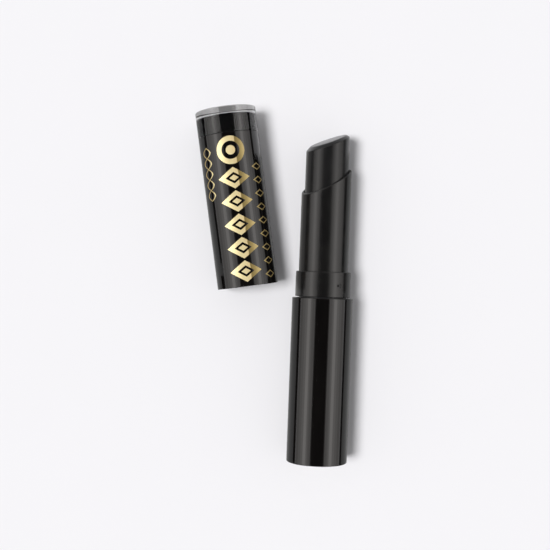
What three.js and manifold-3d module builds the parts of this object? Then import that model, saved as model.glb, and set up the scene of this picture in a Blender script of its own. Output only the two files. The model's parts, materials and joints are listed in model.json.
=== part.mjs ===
// A slim twist-up lipstick case, lying open on a table with its cap taken off and laid beside it.
//
// Millimetres, +Z up from the table. The case lies along +Y, its foot at the low end and its slanted
// mouth at the high end. Heights in this file are measured along the case from its foot, and heights
// on the cap from its open end. Turning the base winds two lugs on the carrier along the spiral
// sleeve, and the slots of the guide tube keep the carrier from turning, so the bullet rises.

import * as THREE from "three";
import { mergeVertices } from "three/addons/utils/BufferGeometryUtils.js";
import Module from "manifold-3d";

const wasm = await Module();
wasm.setup();

// ---- Driving sizes ----

const FACETS = 40; // flats round every turned piece
const CASE_RADIUS = 7.5; // outside of the base and of the cap

// Fits: radial gaps between pieces, and the gap where one end meets another
const PRESS_FIT = 0.1;
const RUNNING_FIT = 0.2;
const SLIDING_FIT = 0.15;
const CAP_FIT = 0.08;
const END_GAP = 0.3;

// Base
const BASE_LENGTH = 40.65;
const FOOT_THICKNESS = 1.6;
const FOOT_BEVEL = 0.45;
const RIM_BEVEL = 0.15;
const LABEL_RECESS_DEPTH = 0.4;
const LABEL_THICKNESS = 0.25;
const FOOT_RING_WIDTH = 1.7;

// Spiral sleeve and the brake and retaining rings
const SLEEVE_WALL = 0.55;
const SLEEVE_SEAT_HEIGHT = 8;
const SLEEVE_SEAT_WIDTH = 0.25;
const SLEEVE_BELOW_RIM = 0.35;
const SPIRAL_LEAD = 12; // rise for one turn
const RING_GROOVE_DEPTH = 0.2;
const BRAKE_RING_ABOVE_END = 1.5; // above the guide tube's lower end
const BRAKE_RING_THICKNESS = 0.8;
const RETAINING_RING_BELOW_SLEEVE = 0.7;
const RETAINING_RING_THICKNESS = 1;
const RETAINING_RING_OPENING = 1.6;

// Collar, nose and guide tube
const COLLAR_HEIGHT = 6.25;
const COLLAR_BEVEL = 0.25;
const COLLAR_STEP = 0.69; // from the collar in to the nose
const NOSE_SOCKET_DEPTH = 3;
const NOSE_WALL = 0.6;
const NOSE_HEIGHT = 22.35; // from the collar to the mouth, on the axis
const MOUTH_SLANT = THREE.MathUtils.degToRad(30);
const GUIDE_STEP = 0.25; // from the nose in to the guide tube
const GUIDE_WALL = 0.45;
const GUIDE_ABOVE_FLOOR = 1;
const DETENT_HEIGHT = 2.9; // above the bottom of the collar
const DETENT_PROUD = 0.22;
const DETENT_RADIUS = 0.75;
const DETENT_TURN = THREE.MathUtils.degToRad(3);
const NOSE_TURN = THREE.MathUtils.degToRad(30); // how the nose is turned in the base at rest

// Carrier and bullet
const RAISE_TURNS = 0.75; // from rest to fully up
const LOWER_TURNS = 1; // from rest to fully down
const CUP_WALL = 0.4;
const CUP_DEPTH = 9;
const CUP_FLOOR = 0.8;
const CUP_BELOW_MOUTH = 1.35; // when fully up
const LUG_RADIUS = 0.45;
const LUG_BELOW_RIM = 2.65; // when fully up
const LUG_REACH = 0.15; // how far the lug stops short of the sleeve's outside
const LUG_SLOT_ROOM = 0.5;
const CARRIER_BELOW_LUG = 1;
const BULLET_FIT = 0.18;
const BULLET_OUT = 10.15; // above the mouth, on the axis
const BULLET_SLANT = THREE.MathUtils.degToRad(23.5);
const BULLET_BEVEL_HEIGHT = 0.77;
const BULLET_BEVEL_WIDTH = 0.9;

// Cap
const CAP_WALL = 0.63;
const CAP_END_ROOM = 1.5; // between the mouth and the insert with the cap on
const CAP_END_BEVEL = 0.3;
const CLEAR_WALL = 0.8;
const CLEAR_END_THICKNESS = 1.65;
const INSERT_SPIGOT_LENGTH = 3.7;
const INSERT_CORE_LENGTH = 4.43;
const SNAP_GROOVE_WIDTH = 1.5;
const SNAP_GROOVE_ROOM = 0.06;
const CAP_TURN = THREE.MathUtils.degToRad(9.5);
const CAP_ASIDE = 3.6; // between the sides of the case and of the cap, at the cap's open end
const CAP_ALONG = 2.28; // from the base's rim on to the middle of the cap's open end

// ---- Sizes that follow ----

const capBore = CASE_RADIUS - CAP_WALL;
const collarRadius = capBore - CAP_FIT;
const noseRadius = collarRadius - COLLAR_STEP;
const noseBore = noseRadius - NOSE_WALL;
const guideRadius = noseRadius - GUIDE_STEP;
const guideBore = guideRadius - GUIDE_WALL;
const sleeveBore = guideRadius + RUNNING_FIT;
const sleeveRadius = sleeveBore + SLEEVE_WALL;
const baseBore = sleeveRadius + PRESS_FIT;
const lowerBore = baseBore - SLEEVE_SEAT_WIDTH;
const carrierRadius = Math.min(guideBore, noseBore) - SLIDING_FIT;
const cupBore = carrierRadius - CUP_WALL;
const bulletRadius = noseBore - BULLET_FIT;
const shankRadius = cupBore - PRESS_FIT;
const spiralSlotRadius = LUG_RADIUS + RUNNING_FIT;

const collarBottom = BASE_LENGTH + END_GAP;
const collarTop = collarBottom + COLLAR_HEIGHT;
const noseSeat = collarTop - NOSE_SOCKET_DEPTH;
const mouthHeight = collarTop + NOSE_HEIGHT;
const mouthLowest = mouthHeight - Math.tan(MOUTH_SLANT) * noseBore;
const mouthHighest = mouthHeight + Math.tan(MOUTH_SLANT) * noseRadius;
const detentHeight = collarBottom + DETENT_HEIGHT;
const raise = RAISE_TURNS * SPIRAL_LEAD;
const lower = LOWER_TURNS * SPIRAL_LEAD;
const cupRim = mouthLowest - CUP_BELOW_MOUTH - raise;
const cupFloor = cupRim - CUP_DEPTH;
const lugHeight = BASE_LENGTH - LUG_BELOW_RIM - raise;
const bulletFace = mouthHeight + BULLET_OUT;
const guideBottom = FOOT_THICKNESS + GUIDE_ABOVE_FLOOR;
const guideTop = noseSeat - END_GAP;
const brakeRingHeight = guideBottom + BRAKE_RING_ABOVE_END;
const retainingRingTop = SLEEVE_SEAT_HEIGHT - RETAINING_RING_BELOW_SLEEVE;
const retainingRingHeight = retainingRingTop - RETAINING_RING_THICKNESS / 2;

const capBoreDepth = mouthHighest - BASE_LENGTH + CAP_END_ROOM;
const capTubeLength = capBoreDepth + INSERT_SPIGOT_LENGTH;
const insertTop = capTubeLength + INSERT_CORE_LENGTH;
const clearInside = insertTop + END_GAP;
const capLength = clearInside + CLEAR_END_THICKNESS;

// ---- Shapes ----

// A closed solid turned about the case's axis from [radius, height] corners, counter-clockwise. A
// profile that starts on the axis ends on it too; any other is a ring.
function turned(corners) {
  const profile = corners.map(([radius, height]) => new THREE.Vector2(radius, height));
  if (corners[0][0] > 0) {
    profile.push(profile[0].clone());
  }
  return new THREE.LatheGeometry(profile, FACETS);
}

function cylinder(radius, from, to) {
  return turned([
    [0, from],
    [radius, from],
    [radius, to],
    [0, to],
  ]);
}

// Tips everything above a height so that it rises towards +X.
function slantAbove(geometry, height, slant) {
  const position = geometry.getAttribute("position");
  for (let i = 0; i < position.count; i += 1) {
    if (position.getY(i) > height) {
      position.setY(i, position.getY(i) + Math.tan(slant) * position.getX(i));
    }
  }
  return geometry;
}

function solidOf(geometry) {
  const bare = geometry.clone().deleteAttribute("normal").deleteAttribute("uv");
  const merged = mergeVertices(bare, 1e-4);
  const corners = merged.index.array;
  const triangles = [];
  for (let i = 0; i < corners.length; i += 3) {
    const [a, b, c] = corners.slice(i, i + 3);
    if (a !== b && b !== c && c !== a) {
      triangles.push(a, b, c);
    }
  }
  return new wasm.Manifold(
    new wasm.Mesh({
      numProp: 3,
      vertProperties: new Float32Array(merged.getAttribute("position").array),
      triVerts: new Uint32Array(triangles),
    }),
  );
}

function geometryOf(solid) {
  const mesh = solid.getMesh();
  const geometry = new THREE.BufferGeometry();
  geometry.setAttribute("position", new THREE.BufferAttribute(mesh.vertProperties, 3));
  geometry.setIndex(new THREE.BufferAttribute(mesh.triVerts, 1));
  geometry.computeVertexNormals();
  return geometry;
}

function cut(geometry, ...tools) {
  return geometryOf(tools.reduce((rest, tool) => rest.subtract(solidOf(tool)), solidOf(geometry)));
}

function join(geometry, ...others) {
  return geometryOf(others.reduce((sum, other) => sum.add(solidOf(other)), solidOf(geometry)));
}

function part(name, geometry, color, roughness, metalness = 0) {
  const mesh = new THREE.Mesh(geometry, new THREE.MeshStandardMaterial({ color, roughness, metalness }));
  mesh.name = name;
  return mesh;
}

const GLOSS_BLACK = 0x17161a;
const MATT_BLACK = 0x2a2a2c;

// ---- Base ----

function baseShell() {
  const recess = CASE_RADIUS - FOOT_RING_WIDTH;
  const shell = turned([
    [0, LABEL_RECESS_DEPTH],
    [recess, LABEL_RECESS_DEPTH],
    [recess, 0],
    [CASE_RADIUS - FOOT_BEVEL, 0],
    [CASE_RADIUS, FOOT_BEVEL],
    [CASE_RADIUS, BASE_LENGTH - RIM_BEVEL],
    [CASE_RADIUS - RIM_BEVEL, BASE_LENGTH],
    [baseBore, BASE_LENGTH],
    [baseBore, SLEEVE_SEAT_HEIGHT],
    [lowerBore, SLEEVE_SEAT_HEIGHT],
    [lowerBore, FOOT_THICKNESS],
    [0, FOOT_THICKNESS],
  ]);
  return part("base_shell", shell, GLOSS_BLACK, 0.12);
}

function footLabel() {
  const radius = CASE_RADIUS - FOOT_RING_WIDTH - END_GAP;
  const disc = cylinder(radius, LABEL_RECESS_DEPTH - LABEL_THICKNESS, LABEL_RECESS_DEPTH);
  return part("foot_label", disc, 0xd9d6d0, 0.6);
}

// A circular path about the case's axis that rises as it turns from +Z towards +X.
class Spiral extends THREE.Curve {
  constructor(radius, middle, startTurns, endTurns, phase) {
    super();
    Object.assign(this, { radius, middle, startTurns, endTurns, phase });
  }
  getPoint(t, target = new THREE.Vector3()) {
    const turns = THREE.MathUtils.lerp(this.startTurns, this.endTurns, t);
    const angle = this.phase + turns * 2 * Math.PI;
    const height = this.middle + turns * SPIRAL_LEAD;
    return target.set(this.radius * Math.sin(angle), height, this.radius * Math.cos(angle));
  }
}

function roundSection(radius, sides) {
  const points = Array.from({ length: sides }, (_, i) => {
    const angle = ((i + 0.5) * 2 * Math.PI) / sides;
    return new THREE.Vector2(radius * Math.cos(angle), radius * Math.sin(angle));
  });
  return new THREE.Shape(points);
}

// What one lug sweeps through the sleeve, with a little overrun at each end.
function spiralSlot(phase) {
  const overrun = (LUG_RADIUS + RUNNING_FIT) / (2 * Math.PI * sleeveRadius);
  const start = -LOWER_TURNS - overrun;
  const end = RAISE_TURNS + overrun;
  const radius = (sleeveBore + sleeveRadius) / 2;
  return new THREE.ExtrudeGeometry(roundSection(spiralSlotRadius, 8), {
    steps: Math.ceil((end - start) * 20),
    extrudePath: new Spiral(radius, lugHeight, start, end, phase),
  });
}

function spiralSleeve() {
  const tube = turned([
    [sleeveBore, SLEEVE_SEAT_HEIGHT],
    [sleeveRadius, SLEEVE_SEAT_HEIGHT],
    [sleeveRadius, BASE_LENGTH - SLEEVE_BELOW_RIM],
    [sleeveBore, BASE_LENGTH - SLEEVE_BELOW_RIM],
  ]);
  const lugPhase = NOSE_TURN + Math.PI / 2;
  const sleeve = cut(tube, spiralSlot(lugPhase), spiralSlot(lugPhase + Math.PI));
  return part("spiral_sleeve", sleeve, 0xcfcdc6, 0.4);
}

// ---- Nose: what turns in the base ----

function detent(turn) {
  const ball = new THREE.SphereGeometry(DETENT_RADIUS, 10, 8);
  ball.translate(0, detentHeight, collarRadius + DETENT_PROUD - DETENT_RADIUS);
  return ball.rotateY(turn);
}

function collar() {
  const outside = turned([
    [0, collarBottom],
    [collarRadius, collarBottom],
    [collarRadius, collarTop - COLLAR_BEVEL],
    [collarRadius - COLLAR_BEVEL, collarTop],
    [0, collarTop],
  ]);
  const bumps = join(outside, detent(DETENT_TURN), detent(DETENT_TURN + Math.PI));
  const lowerHole = cylinder(guideRadius + PRESS_FIT, collarBottom - 1, collarTop + 1);
  const socket = cylinder(noseRadius + PRESS_FIT, noseSeat, collarTop + 1);
  return part("collar", cut(bumps, lowerHole, socket), GLOSS_BLACK, 0.18);
}

function noseTube() {
  const tube = turned([
    [noseBore, noseSeat],
    [noseRadius, noseSeat],
    [noseRadius, mouthHeight],
    [noseBore, mouthHeight],
  ]);
  return part("nose_tube", slantAbove(tube, collarTop, MOUTH_SLANT), GLOSS_BLACK, 0.16);
}

function ringGroove(height, thickness) {
  const floor = guideRadius - RING_GROOVE_DEPTH;
  const room = thickness / 2 + PRESS_FIT;
  return turned([
    [floor, height - room],
    [guideRadius + 1, height - room],
    [guideRadius + 1, height + room],
    [floor, height + room],
  ]);
}

function guideTube() {
  const tube = turned([
    [guideBore, guideBottom],
    [guideRadius, guideBottom],
    [guideRadius, guideTop],
    [guideBore, guideTop],
  ]);
  const slotWidth = 2 * (LUG_RADIUS + SLIDING_FIT);
  const slotLength = lower + raise + 2 * (LUG_RADIUS + LUG_SLOT_ROOM);
  const slots = new THREE.BoxGeometry(4 * guideRadius, slotLength, slotWidth);
  slots.translate(0, lugHeight + (raise - lower) / 2, 0);
  const brakeGroove = ringGroove(brakeRingHeight, BRAKE_RING_THICKNESS);
  const retainingGroove = ringGroove(retainingRingHeight, RETAINING_RING_THICKNESS);
  return part("guide_tube", cut(tube, slots, brakeGroove, retainingGroove), MATT_BLACK, 0.4);
}

// The rings sit in the guide tube's grooves and reach out to the base's lower bore.
function brakeRing() {
  const inner = guideRadius - RING_GROOVE_DEPTH + PRESS_FIT / 2;
  const outer = lowerBore - PRESS_FIT;
  const middle = (inner + outer) / 2;
  const sides = 8;
  const section = Array.from({ length: sides }, (_, i) => {
    const angle = (i * 2 * Math.PI) / sides;
    const along = (Math.sin(angle) * BRAKE_RING_THICKNESS) / 2;
    return [middle + (Math.cos(angle) * (outer - inner)) / 2, brakeRingHeight + along];
  });
  return part("brake_ring", turned(section), 0x4a4a4a, 0.7);
}

function retainingRing() {
  const inner = guideRadius - RING_GROOVE_DEPTH + PRESS_FIT;
  const outer = lowerBore - SLIDING_FIT;
  const ring = turned([
    [inner, retainingRingTop - RETAINING_RING_THICKNESS],
    [outer, retainingRingTop - RETAINING_RING_THICKNESS],
    [outer, retainingRingTop],
    [inner, retainingRingTop],
  ]);
  const opening = new THREE.BoxGeometry(RETAINING_RING_OPENING, 2 * RETAINING_RING_THICKNESS, outer);
  opening.translate(0, retainingRingHeight, -outer);
  return part("retaining_ring", cut(ring, opening), 0xdedbd2, 0.35);
}

// ---- Carrier: what rises and sinks in the nose ----

function carrierCup() {
  const bottom = lugHeight - CARRIER_BELOW_LUG;
  const body = cylinder(carrierRadius, bottom, cupRim);
  const reach = sleeveRadius - LUG_REACH;
  const lugs = new THREE.CylinderGeometry(LUG_RADIUS, LUG_RADIUS, 2 * reach, 8);
  lugs.rotateZ(Math.PI / 2);
  lugs.translate(0, lugHeight, 0);
  const cup = cylinder(cupBore, cupFloor, cupRim + 1);
  const skirt = cylinder(cupBore, bottom - 1, cupFloor - CUP_FLOOR);
  return part("carrier_cup", cut(join(body, lugs), cup, skirt), 0x9a9890, 0.45);
}

function lipstickBullet() {
  const shoulder = bulletFace - BULLET_BEVEL_HEIGHT;
  const stick = turned([
    [0, cupFloor],
    [shankRadius, cupFloor],
    [shankRadius, cupRim],
    [bulletRadius, cupRim],
    [bulletRadius, shoulder],
    [bulletRadius - BULLET_BEVEL_WIDTH, bulletFace],
    [0, bulletFace],
  ]);
  return part("lipstick_bullet", slantAbove(stick, (cupRim + shoulder) / 2, BULLET_SLANT), 0x39383b, 0.5);
}

// ---- Cap ----

function capTube() {
  const grooveMiddle = detentHeight - BASE_LENGTH;
  const grooveBottom = grooveMiddle - SNAP_GROOVE_WIDTH / 2;
  const grooveTop = grooveMiddle + SNAP_GROOVE_WIDTH / 2;
  const grooveFloor = collarRadius + DETENT_PROUD + SNAP_GROOVE_ROOM;
  const tube = turned([
    [capBore, 0],
    [CASE_RADIUS - RIM_BEVEL, 0],
    [CASE_RADIUS, RIM_BEVEL],
    [CASE_RADIUS, capTubeLength],
    [capBore, capTubeLength],
    [capBore, grooveTop],
    [grooveFloor, grooveTop - SNAP_GROOVE_WIDTH / 4],
    [grooveFloor, grooveBottom + SNAP_GROOVE_WIDTH / 4],
    [capBore, grooveBottom],
  ]);
  return part("cap_tube", tube, GLOSS_BLACK, 0.12);
}

function capShadeInsert() {
  const spigotRadius = capBore - PRESS_FIT;
  const coreRadius = CASE_RADIUS - CLEAR_WALL - PRESS_FIT;
  const plug = turned([
    [0, capBoreDepth],
    [spigotRadius, capBoreDepth],
    [spigotRadius, capTubeLength],
    [coreRadius, capTubeLength],
    [coreRadius, insertTop],
    [0, insertTop],
  ]);
  return part("cap_shade_insert", plug, 0x050506, 0.2);
}

function capClearEnd() {
  const bottom = capTubeLength + END_GAP;
  const thimble = turned([
    [CASE_RADIUS - CLEAR_WALL, bottom],
    [CASE_RADIUS, bottom],
    [CASE_RADIUS, capLength - CAP_END_BEVEL],
    [CASE_RADIUS - CAP_END_BEVEL, capLength],
    [0, capLength],
    [0, clearInside],
    [CASE_RADIUS - CLEAR_WALL, clearInside],
  ]);
  return part("cap_clear_end", thimble, 0xb9bbc0, 0.05);
}

// ---- Assembly ----

function group(...children) {
  return new THREE.Group().add(...children);
}

const base = group(baseShell(), footLabel(), spiralSleeve());
const nose = group(collar(), noseTube(), guideTube(), brakeRing(), retainingRing());
const carrier = group(carrierCup(), lipstickBullet());
const turning = group(nose, carrier);
turning.rotation.y = NOSE_TURN;

const cap = group(capTube(), capShadeInsert(), capClearEnd());
cap.position.set(-2 * CASE_RADIUS - CAP_ASIDE, BASE_LENGTH + CAP_ALONG, 0);
cap.rotation.z = CAP_TURN;

// The model stands on Z = 0, with its origin under the middle of its box.
const model = group(base, turning, cap);
model.updateMatrixWorld(true);
const box = new THREE.Box3().setFromObject(model, true);
const middle = box.getCenter(new THREE.Vector3());
model.position.set(-middle.x, -middle.y, -box.min.z);

export default group(model);
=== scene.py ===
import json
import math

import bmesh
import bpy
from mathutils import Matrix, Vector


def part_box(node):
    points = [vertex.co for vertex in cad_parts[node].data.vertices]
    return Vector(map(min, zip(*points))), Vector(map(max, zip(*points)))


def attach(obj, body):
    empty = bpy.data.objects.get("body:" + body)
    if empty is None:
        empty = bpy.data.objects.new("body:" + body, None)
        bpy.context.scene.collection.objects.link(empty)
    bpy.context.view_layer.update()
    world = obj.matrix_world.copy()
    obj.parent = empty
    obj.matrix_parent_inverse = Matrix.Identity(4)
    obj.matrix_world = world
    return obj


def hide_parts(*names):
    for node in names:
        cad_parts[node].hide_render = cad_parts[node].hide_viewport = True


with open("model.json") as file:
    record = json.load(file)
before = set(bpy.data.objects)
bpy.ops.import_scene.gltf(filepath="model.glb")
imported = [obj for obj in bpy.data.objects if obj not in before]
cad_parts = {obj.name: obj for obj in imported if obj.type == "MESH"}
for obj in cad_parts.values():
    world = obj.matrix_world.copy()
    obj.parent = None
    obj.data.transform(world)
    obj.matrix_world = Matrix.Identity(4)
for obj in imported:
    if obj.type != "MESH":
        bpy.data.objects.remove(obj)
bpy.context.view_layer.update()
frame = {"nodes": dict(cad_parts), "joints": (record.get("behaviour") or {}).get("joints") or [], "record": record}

# Looks of a slim twist-up lipstick case. It lies open on a pale table, with its cap beside it.
#
# Every turned piece is drawn standing on +Z, in millimetres, and is then laid in its place along the
# case or along the cap. Heights on the case are measured from its foot, and on the cap from its open
# end. Colours are linear.

# ---- Sizes, in millimetres ----

MM = 0.001
UPRIGHT = math.radians(90)
SHARP_EDGE = math.radians(40)  # creases sharper than this stay crisp
TURN_STEPS = 128  # faces round a turned piece
FINE_STEPS = 2 * TURN_STEPS  # and round one with a slant or a bump
ROUND_SEGMENTS = 4  # faces round a rounded corner
WELD = 1e-5  # corners nearer than this are one

CASE_RADIUS = 7.5
CASE_BORE = 6.7
LOWER_BORE = 6.45
SLEEVE_SEAT = 8.0
FOOT_THICKNESS = 1.6
FOOT_ROUND = 0.3
RIM_ROUND = 0.13
FINE_ROUND = 0.06
RECESS_RADIUS = 5.8
RECESS_DEPTH = 0.4
LABEL_CLEARANCE = 0.3  # round the label in its recess

COLLAR_RADIUS = 6.79
COLLAR_ROUND = 0.28
COLLAR_LOWER_BORE = 5.95
COLLAR_SOCKET = 6.13
BUMP_TURN = math.radians(3)  # from the face of the nose, towards the high side of its mouth
BUMP_HEIGHT = 2.9  # above the bottom of the collar
BUMP_RADIUS = 0.58
BUMP_PROUD = 0.27
BUMP_CROWN = 1.25  # 1 is a cone, and 2 a dome
BUMP_PATCH = 0.9  # half the width of the finer faces round a bump
BUMP_ROWS = 12  # rows of faces across a patch
BUMP_CUTS = 2  # cuts across each face of a patch

NOSE_RADIUS = 6.1
NOSE_BORE = 5.5
MOUTH_SLANT = math.radians(30)
MOUTH_ROUND = 0.24
MOUTH_INNER_ROUND = 0.1
NOSE_TURN = math.radians(30)

STICK_RADIUS = 5.32
SHANK_RADIUS = 4.75
STICK_SLANT = math.radians(23.5)
STICK_BEVEL_HEIGHT = 0.77
STICK_BEVEL_WIDTH = 0.9
STICK_ROUND = 0.14

CAP_RADIUS = 7.476  # a hair under the case's, to leave room for the foil
CAP_BORE = 6.87
SNAP_MIDDLE = 3.2  # the groove for the collar's bumps, above the cap's open end
SNAP_WIDTH = 1.5
SNAP_RADIUS = 7.07
SEAM_GAP = 0.07  # between the cap's tube and its clear end
INSERT_SPIGOT = 6.77
INSERT_CORE = 6.705  # a hair into the clear wall, so that the two read as pressed tight
CLEAR_RADIUS = 7.49
CLEAR_WALL = 0.79
CLEAR_ROUND = 0.28
CLEAR_FLOOR = 1.65
CLEAR_SET_BACK = 0.015  # of its face, so that it stays within the CAD box
INSERT_GAP = 0.12  # between the insert's face and the floor of the clear end

FOIL_LOW = 7.479  # radius of the foil's underside
FOIL_THICKNESS = 0.014
FOIL_SLICE = 0.3  # widest face of foil, so that it bends round the cap


# ---- Places ----

def reach_along(node, start, direction):
    """How far a node reaches along a line, lowest and highest, in millimetres."""
    reach = [(corner.co - start).dot(direction) / MM for corner in frame["nodes"][node].data.vertices]
    return min(reach), max(reach)


joints = {joint["name"]: joint for joint in frame["joints"]}
mounts = {mount["name"]: mount for mount in frame["record"]["mounts"]}

case_axis = Vector((0, 1, 0))
cap_axis = Vector(joints["cap_pull"]["axis"]).normalized()
foot = Vector(joints["twist"]["pos_m"])
foot.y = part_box("base_shell")[0].y
cap_top = Vector(mounts["cap_end"]["pos_m"])
cap_mouth = cap_top + cap_axis * reach_along("cap_tube", cap_top, cap_axis)[0] * MM
cap_turn = math.atan2(-cap_axis.x, cap_axis.y)

LAID = Matrix.Rotation(-UPRIGHT, 4, "X")
IN_MM = Matrix.Scale(MM, 4)
case_place = Matrix.Translation(foot) @ LAID @ IN_MM
nose_place = Matrix.Translation(foot) @ Matrix.Rotation(NOSE_TURN, 4, "Y") @ LAID @ IN_MM
cap_place = Matrix.Translation(cap_mouth) @ Matrix.Rotation(cap_turn, 4, "Z") @ LAID @ IN_MM


def on_case(node):
    return reach_along(node, foot, case_axis)


def on_cap(node):
    return reach_along(node, cap_mouth, cap_axis)


# ---- Camera and light, in metres ----

CAMERA_PLACE = (0.00088, 0.00216, 0.2695)
CAMERA_TURN = math.radians(2.12)
CAMERA_LENS = 69.06
CAMERA_SENSOR = 36
CAMERA_NEAR = 0.01

BACKDROP = (0.93, 0.922, 0.947, 1)
FILL = (1, 1, 1, 1)
PANEL_COLOUR = (1, 0.965, 0.94)
AMBIENT = 0.35  # strength of the surround
AMBIENT_IN_GLOSS = 0.03  # and as gloss mirrors it
AMBIENT_IN_CLEAR = 0.75  # and through clear plastic
KEY_STRENGTH = 2.55
KEY_PLACE = (0, 0, 1)  # a sun shines the same from anywhere
KEY_OFF_PLUMB = math.radians(20)
KEY_TOWARDS_FOOT = math.radians(2)
KEY_SOFTNESS = math.radians(18)
PANEL_DISTANCE = 0.5
PANEL_LENGTH = 1.3
# Soft panels on each side: the nearest and farthest off plumb that each reaches, and its radiance
PANELS = ((24, 30, 0.5), (27, 90, 1.05), (32, 77, 0.42), (38, 66, 0.45), (44, 56, 1.1))
# A low panel between the cap and the nose: where it stands, how high and long it is, and its radiance
LOW_PANEL_PLACE = (0.0035, 0.018, 0.005)
LOW_PANEL_HEIGHT = 0.0098
LOW_PANEL_LENGTH = 0.042
LOW_PANEL_RADIANCE = 0.4
# Panels beyond the two ends of the case: how far out, how high their middle is, their tilt off level,
# their height, and their radiance
END_PANELS = {
    "panel_foot": (-0.35, 0.075, 90, 0.15, 1.0),
    "panel_tip": (0.45, 0.35, 52, 0.2, 2.0),
}
END_PANEL_LENGTH = 0.5
# Dark cards that only gloss shows: across, height, and from where to where along the table
CARDS = {
    "card_case_left": (-0.040, 0.0105, -0.1, -0.003),
    "card_cap_left": (-0.062, 0.0105, -0.003, 0.1),
    "card_case_right": (0.070, 0.0085, -0.1, -0.003),
    "card_nose_right": (0.052, 0.0120, -0.003, 0.1),
}
# Grey sheets on the table that only gloss shows: across from and to, and along from and to
GLOSS_TABLES = {
    "gloss_table_foot": (-0.3, 0.3, -0.3, 0.034),
    "gloss_table_cap": (-0.3, -0.002, 0.034, 0.3),
}
GLOSS_TABLE_HEIGHT = 0.00005
GLOSS_TABLE_SHADE = 0.42
CARD_SHADE = 0.001
FLOOR_HALF_SIZE = 4


def add_camera():
    data = bpy.data.cameras.new("camera")
    data.sensor_width = CAMERA_SENSOR
    data.lens = CAMERA_LENS
    data.clip_start = CAMERA_NEAR
    camera = bpy.data.objects.new("camera", data)
    camera.location = CAMERA_PLACE
    camera.rotation_euler = (0, 0, CAMERA_TURN)
    bpy.context.scene.collection.objects.link(camera)
    bpy.context.scene.camera = camera


def add_light(data, place, turn):
    light = bpy.data.objects.new(data.name, data)
    light.location = place
    light.rotation_euler = turn
    light.visible_camera = False
    bpy.context.scene.collection.objects.link(light)
    return light


def add_panel(name, place, turn, width, length, radiance):
    """A soft rectangle of light that shows in gloss, and leaves the table to the key light."""
    data = bpy.data.lights.new(name, "AREA")
    data.shape = "RECTANGLE"
    data.size = width
    data.size_y = length
    data.energy = math.pi * width * length * radiance
    data.color = PANEL_COLOUR
    panel = add_light(data, place, turn)
    panel.visible_diffuse = False
    return panel


def add_key():
    data = bpy.data.lights.new("key", "SUN")
    data.energy = KEY_STRENGTH
    data.angle = KEY_SOFTNESS
    key = add_light(data, KEY_PLACE, (KEY_TOWARDS_FOOT, -KEY_OFF_PLUMB, 0))
    key.visible_glossy = False
    key.visible_transmission = False


def add_side_panels(name, side):
    for nearest, farthest, radiance in PANELS:
        off_plumb = side * math.radians((nearest + farthest) / 2)
        width = 2 * PANEL_DISTANCE * math.tan(math.radians((farthest - nearest) / 2))
        place = (PANEL_DISTANCE * math.sin(off_plumb), 0, PANEL_DISTANCE * math.cos(off_plumb))
        add_panel(f"panel_{name}_{nearest}", place, (0, off_plumb, 0), width, PANEL_LENGTH, radiance)


def add_low_panel():
    panel = add_panel("panel_low", LOW_PANEL_PLACE, (0, -UPRIGHT, 0), LOW_PANEL_HEIGHT, LOW_PANEL_LENGTH,
                      LOW_PANEL_RADIANCE)
    panel.visible_transmission = False


def add_end_panels():
    for name, (out, middle, tilt, height, radiance) in END_PANELS.items():
        turn = (-math.copysign(math.radians(tilt), out), 0, 0)
        panel = add_panel(name, (0, out, middle), turn, END_PANEL_LENGTH, height, radiance)
        panel.visible_transmission = False


def add_world():
    """Pale where the camera sees it, dim in gloss, bright through the clear end, and a soft fill
    for everything else."""
    world = bpy.data.worlds.new("studio")
    world.use_nodes = True
    nodes, links = world.node_tree.nodes, world.node_tree.links
    nodes.clear()
    path = nodes.new("ShaderNodeLightPath")
    fill_strength = nodes.new("ShaderNodeMapRange")
    fill_strength.inputs["To Min"].default_value = AMBIENT
    fill_strength.inputs["To Max"].default_value = AMBIENT_IN_GLOSS
    links.new(path.outputs["Is Glossy Ray"], fill_strength.inputs["Value"])
    clear_strength = nodes.new("ShaderNodeMapRange")
    clear_strength.inputs["To Max"].default_value = AMBIENT_IN_CLEAR
    links.new(path.outputs["Is Transmission Ray"], clear_strength.inputs["Value"])
    links.new(fill_strength.outputs["Result"], clear_strength.inputs["To Min"])
    fill = nodes.new("ShaderNodeBackground")
    links.new(clear_strength.outputs["Result"], fill.inputs["Strength"])
    fill.inputs["Color"].default_value = FILL
    backdrop = nodes.new("ShaderNodeBackground")
    backdrop.inputs["Color"].default_value = BACKDROP
    shown = nodes.new("ShaderNodeMixShader")
    links.new(path.outputs["Is Camera Ray"], shown.inputs[0])
    links.new(fill.outputs["Background"], shown.inputs[1])
    links.new(backdrop.outputs["Background"], shown.inputs[2])
    output = nodes.new("ShaderNodeOutputWorld")
    links.new(shown.outputs["Shader"], output.inputs["Surface"])
    bpy.context.scene.world = world


add_camera()
add_side_panels("left", -1)
add_side_panels("right", 1)
add_low_panel()
add_end_panels()
add_key()
add_world()
bpy.context.scene.view_settings.view_transform = "Standard"


# ---- Finishes ----

MICRON = 0.000001  # in metres
NOISE_LOW = 0.3  # noise seldom goes below this
NOISE_HIGH = 0.7  # or above this
SPECK_HEART = 0.5  # a speck is at its fullest within this share of its radius
CARD_MOTTLE = 1.05  # how much paler the pale patches of a card are

STICK_DARK = (0.0082, 0.008, 0.0082)
STICK_PALE = (0.0105, 0.0102, 0.0104)
STICK_PALE_FROM = 0.72  # where in the noise the bloom is at its palest

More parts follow.
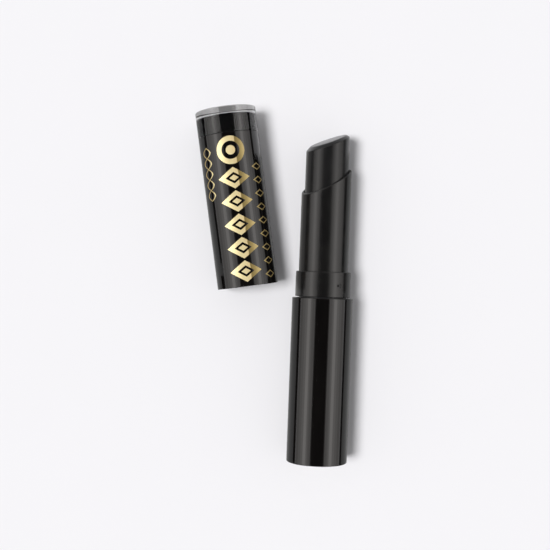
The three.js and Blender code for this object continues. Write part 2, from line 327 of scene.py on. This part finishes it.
# Positions across the cap, from its left side to its right, and the foil's colour there. This is painted light and
# shade: painted shade at the left side, a pale painted highlight, then a dark painted shade band that pales again
# towards the right
GOLD_PAINTED_LIGHT_AND_SHADE = (
    (0.1, (0.5, 0.37, 0.16)),
    (0.22, (0.96, 0.84, 0.46)),
    (0.52, (0.98, 0.82, 0.45)),
    (0.59, (0.84, 0.66, 0.34)),
    (0.6, (0.22, 0.16, 0.05)),
    (0.67, (0.25, 0.185, 0.06)),
    (0.77, (0.42, 0.33, 0.14)),
    (0.9, (0.4, 0.3, 0.12)),
)
GOLD_SHADE_LINE_WANDER = 0.008  # how far the line between the painted highlight and the painted shade band wanders, as a share of the cap's width

# Positions out from the middle of the foot label, as shares of its reach in metres, and its print there
LABEL_REACH = 0.0055
LABEL_PRINT = (
    (0.0, (0.02, 0.02, 0.02)),
    (0.28, (0.02, 0.02, 0.02)),
    (0.3, (0.62, 0.6, 0.56)),
    (0.82, (0.66, 0.64, 0.6)),
    (0.84, (0.03, 0.03, 0.03)),
    (0.9, (0.03, 0.03, 0.03)),
    (0.92, (0.64, 0.62, 0.58)),
)
LABEL_BLEED = 0.004  # how far the ink creeps, as a share of the reach


def settings(node, **values):
    for name, value in values.items():
        node.inputs[name.replace("_", " ")].default_value = value


def new_finish(name, **values):
    """A new material, its nodes, and its shader with these values set on it."""
    finish = bpy.data.materials.new(name)
    finish.use_nodes = True
    shader = finish.node_tree.nodes["Principled BSDF"]
    settings(shader, **values)
    return finish, finish.node_tree, shader


def object_place(tree, middle=(0, 0, 0), turn=0, stretch=(1, 1, 1)):
    """Object coordinates, moved to a middle, turned about +Z and stretched."""
    source = tree.nodes.new("ShaderNodeTexCoord")
    mapping = tree.nodes.new("ShaderNodeMapping")
    mapping.vector_type = "TEXTURE"
    settings(mapping, Location=middle, Rotation=(0, 0, turn), Scale=stretch)
    tree.links.new(source.outputs["Object"], mapping.inputs["Vector"])
    return mapping.outputs["Vector"]


def noise(tree, place, size, detail=2, rough=0.5):
    """Soft random patches of about this size in metres."""
    node = tree.nodes.new("ShaderNodeTexNoise")
    settings(node, Scale=1 / size, Detail=detail, Roughness=rough)
    tree.links.new(place, node.inputs["Vector"])
    return node.outputs[0]


def specks(tree, place, spacing, radius):
    """1 in scattered round specks, 0 between them. The spacing is in metres, and the radius is a share
    of it."""
    cells = tree.nodes.new("ShaderNodeTexVoronoi")
    settings(cells, Scale=1 / spacing, Randomness=1)
    tree.links.new(place, cells.inputs["Vector"])
    return ranged(tree, cells.outputs["Distance"], radius, radius * SPECK_HEART, 0, 1)


def ranged(tree, value, from_low, from_high, to_low, to_high):
    node = tree.nodes.new("ShaderNodeMapRange")
    settings(node, From_Min=from_low, From_Max=from_high, To_Min=to_low, To_Max=to_high)
    tree.links.new(value, node.inputs["Value"])
    return node.outputs["Result"]


def spread(tree, patches, low, high):
    """Noise, spread over a range."""
    return ranged(tree, patches, NOISE_LOW, NOISE_HIGH, low, high)


def combined(tree, operation, first, second):
    node = tree.nodes.new("ShaderNodeMath")
    node.operation = operation
    for socket, value in zip(node.inputs, (first, second)):
        if isinstance(value, float):
            socket.default_value = value
        else:
            tree.links.new(value, socket)
    return node.outputs["Value"]


def coloured(tree, value, *stops):
    """A colour that runs through (position, colour) stops as the value rises."""
    node = tree.nodes.new("ShaderNodeValToRGB")
    ramp = node.color_ramp
    while len(ramp.elements) < len(stops):
        ramp.elements.new(0.5)
    for element, (position, colour) in zip(ramp.elements, stops):
        element.position = position
        element.color = (*colour, 1)
    tree.links.new(value, node.inputs["Fac"])
    return node.outputs["Color"]


def mottled(tree, patches, dark, light):
    """A colour that wanders between two shades with noise."""
    return coloured(tree, patches, (NOISE_LOW, dark), (NOISE_HIGH, light))


def relief(tree, height, depth, below=None):
    """Normals of a fine relief, its full depth in metres, on top of the relief below it."""
    node = tree.nodes.new("ShaderNodeBump")
    settings(node, Strength=1, Distance=depth)
    tree.links.new(height, node.inputs["Height"])
    if below is not None:
        tree.links.new(below, node.inputs["Normal"])
    return node.outputs["Normal"]


def dress(tree, shader, colour=None, roughness=None, normal=None):
    for name, value in (("Base Color", colour), ("Roughness", roughness), ("Normal", normal)):
        if value is not None:
            tree.links.new(value, shader.inputs[name])


def polished_black():
    """Glossy moulded black: faint flow marks, a slight handling haze and a few specks of dust."""
    finish, tree, shader = new_finish("polished_black", IOR=1.5, Metallic=0)
    place = object_place(tree)
    flow = noise(tree, object_place(tree, stretch=(1, 4, 1)), size=0.0035, detail=3)
    haze = noise(tree, place, size=0.006, detail=4, rough=0.6)
    dust = specks(tree, place, spacing=0.0016, radius=0.035)
    clean = ranged(tree, haze, from_low=0.35, from_high=0.75, to_low=0.07, to_high=0.13)
    dusty = ranged(tree, dust, from_low=0, from_high=1, to_low=0, to_high=0.35)
    waves = relief(tree, flow, depth=2.2 * MICRON)
    dress(tree, shader,
          colour=mottled(tree, flow, dark=(0.0024, 0.002, 0.0019), light=(0.004, 0.0034, 0.0032)),
          roughness=combined(tree, "MAXIMUM", clean, dusty),
          normal=relief(tree, dust, depth=1.5 * MICRON, below=waves))
    return finish


def satin_black():
    """Moulded black with a finely eroded mould surface, duller than the case."""
    finish, tree, shader = new_finish("satin_black", IOR=1.46, Metallic=0)
    place = object_place(tree)
    grain = noise(tree, place, size=0.00009)
    patches = noise(tree, place, size=0.004, detail=3)
    dress(tree, shader,
          colour=mottled(tree, patches, dark=(0.0045, 0.0042, 0.0044), light=(0.0065, 0.0062, 0.006)),
          roughness=spread(tree, patches, low=0.2, high=0.26),
          normal=relief(tree, grain, depth=1.2 * MICRON))
    return finish


def shade_black():
    """Pure black behind the clear end, with a trace of flow from its gate."""
    finish, tree, shader = new_finish("shade_black", Specular_IOR_Level=0.04, Metallic=0)
    flow = noise(tree, object_place(tree), size=0.003)
    dress(tree, shader,
          colour=mottled(tree, flow, dark=(0.0012, 0.0012, 0.0013), light=(0.002, 0.002, 0.0022)),
          roughness=spread(tree, flow, low=0.1, high=0.16),
          normal=relief(tree, flow, depth=MICRON))
    return finish


def clear_styrene():
    """Clear polished plastic, a little smoky, with faint moulding strain."""
    finish, tree, shader = new_finish("clear_styrene", IOR=1.48, Metallic=0, Transmission_Weight=1)
    strain = noise(tree, object_place(tree), size=0.004)
    dress(tree, shader,
          colour=mottled(tree, strain, dark=(0.95, 0.955, 0.96), light=(0.985, 0.99, 0.99)),
          roughness=spread(tree, strain, low=0.02, high=0.05),
          normal=relief(tree, strain, depth=4 * MICRON))
    return finish


def stick_wax():
    """Satin black wax: a soft bloom, fine pores, and faint lines from drawing it out of its mould."""
    finish, tree, shader = new_finish("stick_wax", IOR=1.38, Metallic=0, Sheen_Weight=0.03,
                                      Sheen_Roughness=0.5)
    place = object_place(tree)
    bloom = noise(tree, place, size=0.0045, detail=3)
    lines = noise(tree, object_place(tree, stretch=(1, 30, 1)), size=0.0002)
    pores = specks(tree, place, spacing=0.0007, radius=0.06)
    solid = combined(tree, "SUBTRACT", 1.0, pores)
    drawn = relief(tree, lines, depth=MICRON)
    dress(tree, shader,
          colour=coloured(tree, bloom, (NOISE_LOW, STICK_DARK), (STICK_PALE_FROM, STICK_PALE)),
          roughness=spread(tree, bloom, low=0.23, high=0.27),
          normal=relief(tree, solid, depth=MICRON, below=drawn))
    return finish


def gold_foil():
    """Hot-stamped foil with soft patches and a light brushed grain. Its colour is painted light and shade across
    the cap: a pale painted highlight up to a line along the cap, then a deep gold painted shade band that pales
    again beyond it."""
    finish, tree, shader = new_finish("gold_foil", Metallic=0.45)
    patches = noise(tree, object_place(tree), size=0.0022, detail=4, rough=0.6)
    grain = noise(tree, object_place(tree, turn=cap_turn, stretch=(1, 12, 1)), size=0.0002)
    across = tree.nodes.new("ShaderNodeSeparateXYZ")
    tree.links.new(object_place(tree, cap_mouth, cap_turn), across.inputs["Vector"])
    span = ranged(tree, across.outputs["X"], -CAP_RADIUS * MM, CAP_RADIUS * MM, 0, 1)
    # The foil's colour paints light and shade by where it lies across the cap: a painted highlight and a painted
    # shade band
    painted_shading = combined(tree, "ADD", span, spread(tree, patches, -GOLD_SHADE_LINE_WANDER, GOLD_SHADE_LINE_WANDER))
    dress(tree, shader,
          colour=coloured(tree, painted_shading, *GOLD_PAINTED_LIGHT_AND_SHADE),
          roughness=spread(tree, patches, low=0.32, high=0.42),
          normal=relief(tree, grain, depth=2 * MICRON))
    return finish


def out_from_axis(tree, middle):
    """How far a point lies from a line along the case through this middle, in metres."""
    level = tree.nodes.new("ShaderNodeVectorMath")
    level.operation = "MULTIPLY"
    level.inputs[1].default_value = (1, 0, 1)
    tree.links.new(object_place(tree, middle), level.inputs[0])
    away = tree.nodes.new("ShaderNodeVectorMath")
    away.operation = "LENGTH"
    tree.links.new(level.outputs["Vector"], away.inputs[0])
    return away.outputs["Value"]


def label_film(middle):
    """Plain printed film: off-white, with a dark dot, a thin dark ring near its edge and a paper grain."""
    finish, tree, shader = new_finish("label_film", IOR=1.5, Metallic=0)
    grain = noise(tree, object_place(tree, middle), size=0.0002, detail=3)
    out = ranged(tree, out_from_axis(tree, middle), 0, LABEL_REACH, 0, 1)
    edge = combined(tree, "ADD", out, spread(tree, grain, -LABEL_BLEED, LABEL_BLEED))
    dress(tree, shader,
          colour=coloured(tree, edge, *LABEL_PRINT),
          roughness=spread(tree, grain, low=0.42, high=0.58),
          normal=relief(tree, grain, depth=3 * MICRON))
    return finish


def moulded(name, dark, light, smooth, rough, depth=3 * MICRON):
    """Plain moulded plastic between two shades and two roughnesses, with a fine mould grain."""
    finish, tree, shader = new_finish(name, IOR=1.48, Metallic=0)
    place = object_place(tree)
    patches = noise(tree, place, size=0.003, detail=4, rough=0.6)
    grain = noise(tree, place, size=0.00015)
    dress(tree, shader,
          colour=mottled(tree, patches, dark, light),
          roughness=spread(tree, patches, smooth, rough),
          normal=relief(tree, grain, depth))
    return finish


def card(name, shade):
    """Matt card of one grey, with a slight mottle."""
    finish, tree, shader = new_finish(name, Roughness=1, Specular_IOR_Level=0)
    mottle = noise(tree, object_place(tree), size=0.02)
    dress(tree, shader, colour=mottled(tree, mottle, dark=(shade,) * 3, light=(shade * CARD_MOTTLE,) * 3))
    return finish


def table_paper():
    """Plain pale card for the table."""
    finish, tree, shader = new_finish("table_paper", Roughness=0.9, Specular_IOR_Level=0)
    shade = noise(tree, object_place(tree), size=0.02, detail=3)
    dress(tree, shader, colour=mottled(tree, shade, dark=(0.838, 0.83, 0.852), light=(0.842, 0.834, 0.856)))
    return finish


# ---- Shapes ----

def turned(corners, steps=TURN_STEPS):
    """A closed shape turned about +Z from (radius, height, rounding) corners. It starts and ends on
    the axis, or closes on itself as a ring."""
    shape = bmesh.new()
    points = [shape.verts.new((radius, 0, height)) for radius, height, _ in corners]
    pairs = list(zip(points, points[1:]))
    if corners[0][0] > 0:
        pairs.append((points[-1], points[0]))
    for pair in pairs:
        shape.edges.new(pair)
    for point, (_, _, rounding) in zip(points, corners):
        if rounding > 0:
            bmesh.ops.bevel(shape, geom=[point], offset=rounding, offset_type="OFFSET",
                            segments=ROUND_SEGMENTS, profile=0.5, affect="VERTICES", material=-1)
    bmesh.ops.spin(shape, geom=shape.verts[:] + shape.edges[:], cent=(0, 0, 0), axis=(0, 0, 1),
                   angle=math.tau, steps=steps, use_merge=True)
    bmesh.ops.remove_doubles(shape, verts=shape.verts[:], dist=WELD)
    bmesh.ops.recalc_face_normals(shape, faces=shape.faces[:])
    return shape


def cut(shape, point, direction):
    """Cuts every face that a plane crosses in two, and keeps both halves."""
    bmesh.ops.bisect_plane(shape, geom=shape.verts[:] + shape.edges[:] + shape.faces[:],
                           plane_co=point, plane_no=direction)


def slant_above(shape, height, slant):
    """Tips everything above a height so that it rises towards +X."""
    for corner in shape.verts:
        if corner.co.z > height:
            corner.co.z += math.tan(slant) * corner.co.x


def finish_piece(name, shape, place, body, nodes, finish):
    """Lays a shape in its place as a smooth piece that rides on a body, and stands for any CAD nodes
    that are named."""
    mesh = bpy.data.meshes.new(name)
    shape.to_mesh(mesh)
    shape.free()
    mesh.transform(place)
    mesh.shade_smooth()
    mesh.set_sharp_from_angle(angle=SHARP_EDGE)
    mesh.materials.append(finish)
    piece = bpy.data.objects.new(name, mesh)
    bpy.context.scene.collection.objects.link(piece)
    weighted = piece.modifiers.new("even_shading", "WEIGHTED_NORMAL")
    weighted.keep_sharp = True
    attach(piece, body)
    if nodes:
        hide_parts(*nodes)


# ---- Base ----

def base_case(finish):
    foot_end, rim = on_case("base_shell")
    shape = turned([
        (0, foot_end + RECESS_DEPTH, 0),
        (RECESS_RADIUS, foot_end + RECESS_DEPTH, FINE_ROUND),
        (RECESS_RADIUS, foot_end, RIM_ROUND),
        (CASE_RADIUS, foot_end, FOOT_ROUND),
        (CASE_RADIUS, rim, RIM_ROUND),
        (CASE_BORE, rim, FINE_ROUND),
        (CASE_BORE, SLEEVE_SEAT, FINE_ROUND),
        (LOWER_BORE, SLEEVE_SEAT, FINE_ROUND),
        (LOWER_BORE, FOOT_THICKNESS, FOOT_ROUND),
        (0, FOOT_THICKNESS, 0),
    ])
    finish_piece("base_case", shape, case_place, "base", ["base_shell"], finish)


def foot_disc():
    low, high = on_case("foot_label")
    radius = RECESS_RADIUS - LABEL_CLEARANCE
    shape = turned([(0, low, 0), (radius, low, FINE_ROUND), (radius, high, 0), (0, high, 0)])
    finish_piece("foot_disc", shape, case_place, "base", ["foot_label"], label_film(tuple(foot)))


# ---- Nose ----

def finer_patch(shape, middle, half_width, cuts):
    """Divides the outside faces round a point."""
    near = [face for face in shape.faces if (face.calc_center_median() - middle).length < half_width]
    edges = {edge for face in near for edge in face.edges}
    bmesh.ops.subdivide_edges(shape, edges=list(edges), cuts=cuts, use_grid_fill=True)


def raise_bump(shape, middle):
    """Lifts a round snap bump out of the collar's wall, with a soft foot."""
    outward = Vector((middle.x, middle.y, 0)).normalized()
    for corner in shape.verts:
        if (corner.co - middle).length > 2 * BUMP_PATCH:
            continue
        level = Vector((corner.co.x, corner.co.y, 0))
        if level.length < COLLAR_RADIUS - BUMP_PROUD:
            continue
        around = level.angle(outward) * COLLAR_RADIUS
        away = math.hypot(around, corner.co.z - middle.z) / BUMP_RADIUS
        lift = BUMP_PROUD * max(0, 1 - away ** BUMP_CROWN)
        level = level.normalized() * (COLLAR_RADIUS + lift)
        corner.co.x, corner.co.y = level.x, level.y


def collar_ring(finish):
    bottom, top = on_case("collar")
    seat = on_case("nose_tube")[0]
    shape = turned([
        (COLLAR_LOWER_BORE, bottom, FINE_ROUND),
        (COLLAR_RADIUS, bottom, RIM_ROUND),
        (COLLAR_RADIUS, top, COLLAR_ROUND),
        (COLLAR_SOCKET, top, FINE_ROUND),
        (COLLAR_SOCKET, seat, 0),
        (COLLAR_LOWER_BORE, seat, 0),
    ], steps=FINE_STEPS)
    height = bottom + BUMP_HEIGHT
    for row in range(BUMP_ROWS + 1):
        cut(shape, (0, 0, height + BUMP_PATCH * (2 * row / BUMP_ROWS - 1)), (0, 0, 1))
    for turn in (BUMP_TURN, BUMP_TURN + math.pi):
        middle = Vector((COLLAR_RADIUS * math.sin(turn), -COLLAR_RADIUS * math.cos(turn), height))
        finer_patch(shape, middle, BUMP_PATCH, BUMP_CUTS)
        raise_bump(shape, middle)
    finish_piece("collar_ring", shape, nose_place, "nose", ["collar"], finish)


def nose_shell(finish):
    seat = on_case("nose_tube")[0]
    collar_top = on_case("collar")[1]
    mouth = on_case("nose_tube")[1] - math.tan(MOUTH_SLANT) * NOSE_RADIUS
    shape = turned([
        (NOSE_BORE, seat, FINE_ROUND),
        (NOSE_RADIUS, seat, FINE_ROUND),
        (NOSE_RADIUS, mouth, MOUTH_ROUND),
        (NOSE_BORE, mouth, MOUTH_INNER_ROUND),
    ], steps=FINE_STEPS)
    slant_above(shape, collar_top, MOUTH_SLANT)
    finish_piece("nose_shell", shape, nose_place, "nose", ["nose_tube"], finish)


# ---- Stick ----

def lipstick_stick():
    bottom, top = on_case("lipstick_bullet")
    rim = on_case("carrier_cup")[1]
    face = top - math.tan(STICK_SLANT) * (STICK_RADIUS - STICK_BEVEL_WIDTH)
    shoulder = face - STICK_BEVEL_HEIGHT
    shape = turned([
        (0, bottom, 0),
        (SHANK_RADIUS, bottom, RIM_ROUND),
        (SHANK_RADIUS, rim, 0),
        (STICK_RADIUS, rim, RIM_ROUND),
        (STICK_RADIUS, shoulder, STICK_ROUND),
        (STICK_RADIUS - STICK_BEVEL_WIDTH, face, STICK_ROUND),
        (0, face, 0),
    ], steps=FINE_STEPS)
    slant_above(shape, (rim + shoulder) / 2, STICK_SLANT)
    finish_piece("lipstick_stick", shape, nose_place, "carrier", ["lipstick_bullet"],
                 stick_wax())


# ---- Cap ----

def cap_shell(finish):
    bottom, top = on_cap("cap_tube")
    shape = turned([
        (CAP_BORE, bottom, RIM_ROUND),
        (CAP_RADIUS, bottom, RIM_ROUND),
        (CAP_RADIUS, top, FINE_ROUND),
        (CAP_BORE, top, FINE_ROUND),
        (CAP_BORE, SNAP_MIDDLE + SNAP_WIDTH / 2, FINE_ROUND),
        (SNAP_RADIUS, SNAP_MIDDLE + SNAP_WIDTH / 4, FINE_ROUND),
        (SNAP_RADIUS, SNAP_MIDDLE - SNAP_WIDTH / 4, FINE_ROUND),
        (CAP_BORE, SNAP_MIDDLE - SNAP_WIDTH / 2, FINE_ROUND),
    ])
    finish_piece("cap_shell", shape, cap_place, "cap", ["cap_tube"], finish)


def cap_insert():
    bottom = on_cap("cap_shade_insert")[0]
    top = on_cap("cap_clear_end")[1] - CLEAR_FLOOR - INSERT_GAP
    seam = on_cap("cap_tube")[1]
    shape = turned([
        (0, bottom, 0),
        (INSERT_SPIGOT, bottom, RIM_ROUND),
        (INSERT_SPIGOT, seam, 0),
        (INSERT_CORE, seam, 0),
        (INSERT_CORE, top, RIM_ROUND),
        (0, top, 0),
    ])
    finish_piece("cap_insert", shape, cap_place, "cap", ["cap_shade_insert"], shade_black())


def cap_lens():
    seam = on_cap("cap_tube")[1]
    top = on_cap("cap_clear_end")[1] - CLEAR_SET_BACK
    bore = CLEAR_RADIUS - CLEAR_WALL
    shape = turned([
        (bore, seam + SEAM_GAP, FINE_ROUND),
        (CLEAR_RADIUS, seam + SEAM_GAP, FINE_ROUND),
        (CLEAR_RADIUS, top, CLEAR_ROUND),
        (0, top, 0),
        (0, top - CLEAR_FLOOR, 0),
        (bore, top - CLEAR_FLOOR, FINE_ROUND),
    ])
    finish_piece("cap_lens", shape, cap_place, "cap", ["cap_clear_end"], clear_styrene())


# ---- Foil on the cap ----

# It is drawn flat, in millimetres: +X round the cap from its upper side, and +Y along it.

DIAMOND_SIDES = 4

# The large diamonds
MARK_MIDDLE = 0.25
MARK_START = 3.7
MARK_PITCH = 5.68
MARK_COUNT = 5
MARK_HALF = (3.95, 2.62)  # half across and half along
MARK_STROKE = 1.02
MARK_HEART = (1.15, 0.75)

# The ring with a dot above them
ROSETTE_HEIGHT = 33.2
ROSETTE_RADIUS = 3.45
ROSETTE_STROKE = 1.25
ROSETTE_HEART = 1.15
ROSETTE_SIDES = 48
ROSETTE_HEART_SIDES = 32

# The row of small diamonds beside them
ROW_MIDDLE = 6.9
ROW_START = 2.4
ROW_PITCH = 3.3
ROW_COUNT = 9
ROW_HALF = (1.75, 0.95)
ROW_STROKE = 0.26

# The two crossing waves on the other side
WAVE_MIDDLE = -6.5
WAVE_FROM = 21.6
WAVE_TO = 34.6
WAVE_SWING = 1.25
WAVE_TURNS = 2.5
WAVE_STROKE = 0.17  # half the width of a ribbon
WAVE_STEPS = 90


def foil_outline(shape, middle, half, sides, stroke=0):
    """A filled figure of so many sides, or only its border if it has a stroke."""
    place = Matrix.Translation((*middle, 0)) @ Matrix.Diagonal((*half, 1, 1))
    made = bmesh.ops.create_circle(shape, cap_ends=True, radius=1, segments=sides, matrix=place)
    figure = made["verts"][0].link_faces[0]
    if stroke > 0:
        bmesh.ops.inset_region(shape, faces=[figure], thickness=stroke, use_boundary=True,
                               use_even_offset=True)
        bmesh.ops.delete(shape, geom=[figure], context="FACES")


def foil_wave(shape, phase):
    """A thin ribbon that swings from side to side along the cap."""
    middle = (WAVE_FROM + WAVE_TO) / 2
    half = (WAVE_TO - WAVE_FROM) / 2
    place = Matrix.Translation((WAVE_MIDDLE, middle, 0)) @ Matrix.Diagonal((WAVE_STROKE, half, 1, 1))
    ribbon = bmesh.ops.create_grid(shape, x_segments=1, y_segments=WAVE_STEPS, size=1, matrix=place)["verts"]
    for corner in ribbon:
        along = (corner.co.y - WAVE_FROM) / (WAVE_TO - WAVE_FROM)
        corner.co.x += WAVE_SWING * math.sin(math.tau * WAVE_TURNS * along + phase)


def draw_ornament(shape):
    for number in range(MARK_COUNT):
        middle = (MARK_MIDDLE, MARK_START + number * MARK_PITCH)
        foil_outline(shape, middle, MARK_HALF, DIAMOND_SIDES, MARK_STROKE)
        foil_outline(shape, middle, MARK_HEART, DIAMOND_SIDES)
    rosette = (MARK_MIDDLE, ROSETTE_HEIGHT)
    foil_outline(shape, rosette, (ROSETTE_RADIUS, ROSETTE_RADIUS), ROSETTE_SIDES, ROSETTE_STROKE)
    foil_outline(shape, rosette, (ROSETTE_HEART, ROSETTE_HEART), ROSETTE_HEART_SIDES)
    for number in range(ROW_COUNT):
        middle = (ROW_MIDDLE, ROW_START + number * ROW_PITCH)
        foil_outline(shape, middle, ROW_HALF, DIAMOND_SIDES, ROW_STROKE)
    for phase in (0, math.pi):
        foil_wave(shape, phase)


def slice_foil(shape):
    """Cuts the flat foil in narrow slices along the cap."""
    reach = [corner.co.x for corner in shape.verts]
    for number in range(int((max(reach) - min(reach)) / FOIL_SLICE)):
        cut(shape, (min(reach) + (number + 1) * FOIL_SLICE, 0, 0), (1, 0, 0))


def wrap_foil(shape):
    """Bends the flat foil round the cap."""
    low = min(corner.co.z for corner in shape.verts)
    for corner in shape.verts:
        around = corner.co.x / FOIL_LOW
        radius = FOIL_LOW + corner.co.z - low
        corner.co = Vector((radius * math.sin(around), -radius * math.cos(around), corner.co.y))


def cap_foil():
    shape = bmesh.new()
    draw_ornament(shape)
    slice_foil(shape)
    bmesh.ops.solidify(shape, geom=shape.faces[:], thickness=FOIL_THICKNESS)
    wrap_foil(shape)
    bmesh.ops.recalc_face_normals(shape, faces=shape.faces[:])
    finish_piece("cap_foil", shape, cap_place, "cap", [], gold_foil())


# ---- Everything ----

def dress_inner_pieces():
    """The mechanism keeps its own shapes, and takes real plastics."""
    finishes = {
        "spiral_sleeve": moulded("natural_acetal", dark=(0.6, 0.59, 0.54), light=(0.72, 0.71, 0.67),
                                 smooth=0.3, rough=0.42),
        "retaining_ring": moulded("ring_acetal", dark=(0.64, 0.63, 0.58), light=(0.74, 0.73, 0.69),
                                  smooth=0.28, rough=0.4),
        "guide_tube": moulded("guide_black", dark=(0.014, 0.014, 0.015), light=(0.026, 0.026, 0.027),
                              smooth=0.35, rough=0.5),
        "carrier_cup": moulded("grey_polypropylene", dark=(0.27, 0.26, 0.24), light=(0.35, 0.34, 0.32),
                               smooth=0.36, rough=0.5),
        "brake_ring": moulded("brake_silicone", dark=(0.07, 0.07, 0.07), light=(0.12, 0.12, 0.12),
                              smooth=0.55, rough=0.75, depth=6 * MICRON),
    }
    for node, finish in finishes.items():
        for holder in frame["nodes"][node].material_slots:
            holder.material = finish


def flat_card(name, place, finish):
    shape = bmesh.new()
    bmesh.ops.create_grid(shape, x_segments=1, y_segments=1, size=1, matrix=place)
    mesh = bpy.data.meshes.new(name)
    shape.to_mesh(mesh)
    shape.free()
    mesh.materials.append(finish)
    sheet = bpy.data.objects.new(name, mesh)
    bpy.context.scene.collection.objects.link(sheet)
    return sheet


def only_in_gloss(sheet):
    sheet.visible_camera = False
    sheet.visible_diffuse = False
    sheet.visible_shadow = False
    sheet.visible_transmission = False


def add_gloss_tables():
    grey = card("card_grey", GLOSS_TABLE_SHADE)
    for name, (left, right, start, end) in GLOSS_TABLES.items():
        place = Matrix.Translation(((left + right) / 2, (start + end) / 2, GLOSS_TABLE_HEIGHT))
        place = place @ Matrix.Diagonal(((right - left) / 2, (end - start) / 2, 1, 1))
        only_in_gloss(flat_card(name, place, grey))


def add_dark_cards():
    black = card("card_black", CARD_SHADE)
    for name, (across, height, start, end) in CARDS.items():
        place = Matrix.Translation((across, (start + end) / 2, height / 2))
        place = place @ Matrix.Rotation(UPRIGHT, 4, "Y")
        place = place @ Matrix.Diagonal((height / 2, (end - start) / 2, 1, 1))
        only_in_gloss(flat_card(name, place, black))


black_gloss = polished_black()
black_satin = satin_black()
base_case(black_gloss)
foot_disc()
collar_ring(black_satin)
nose_shell(black_satin)
lipstick_stick()
cap_shell(black_gloss)
cap_insert()
cap_lens()
cap_foil()
dress_inner_pieces()
flat_card("floor", Matrix.Scale(FLOOR_HALF_SIZE, 4), table_paper())
add_gloss_tables()
add_dark_cards()
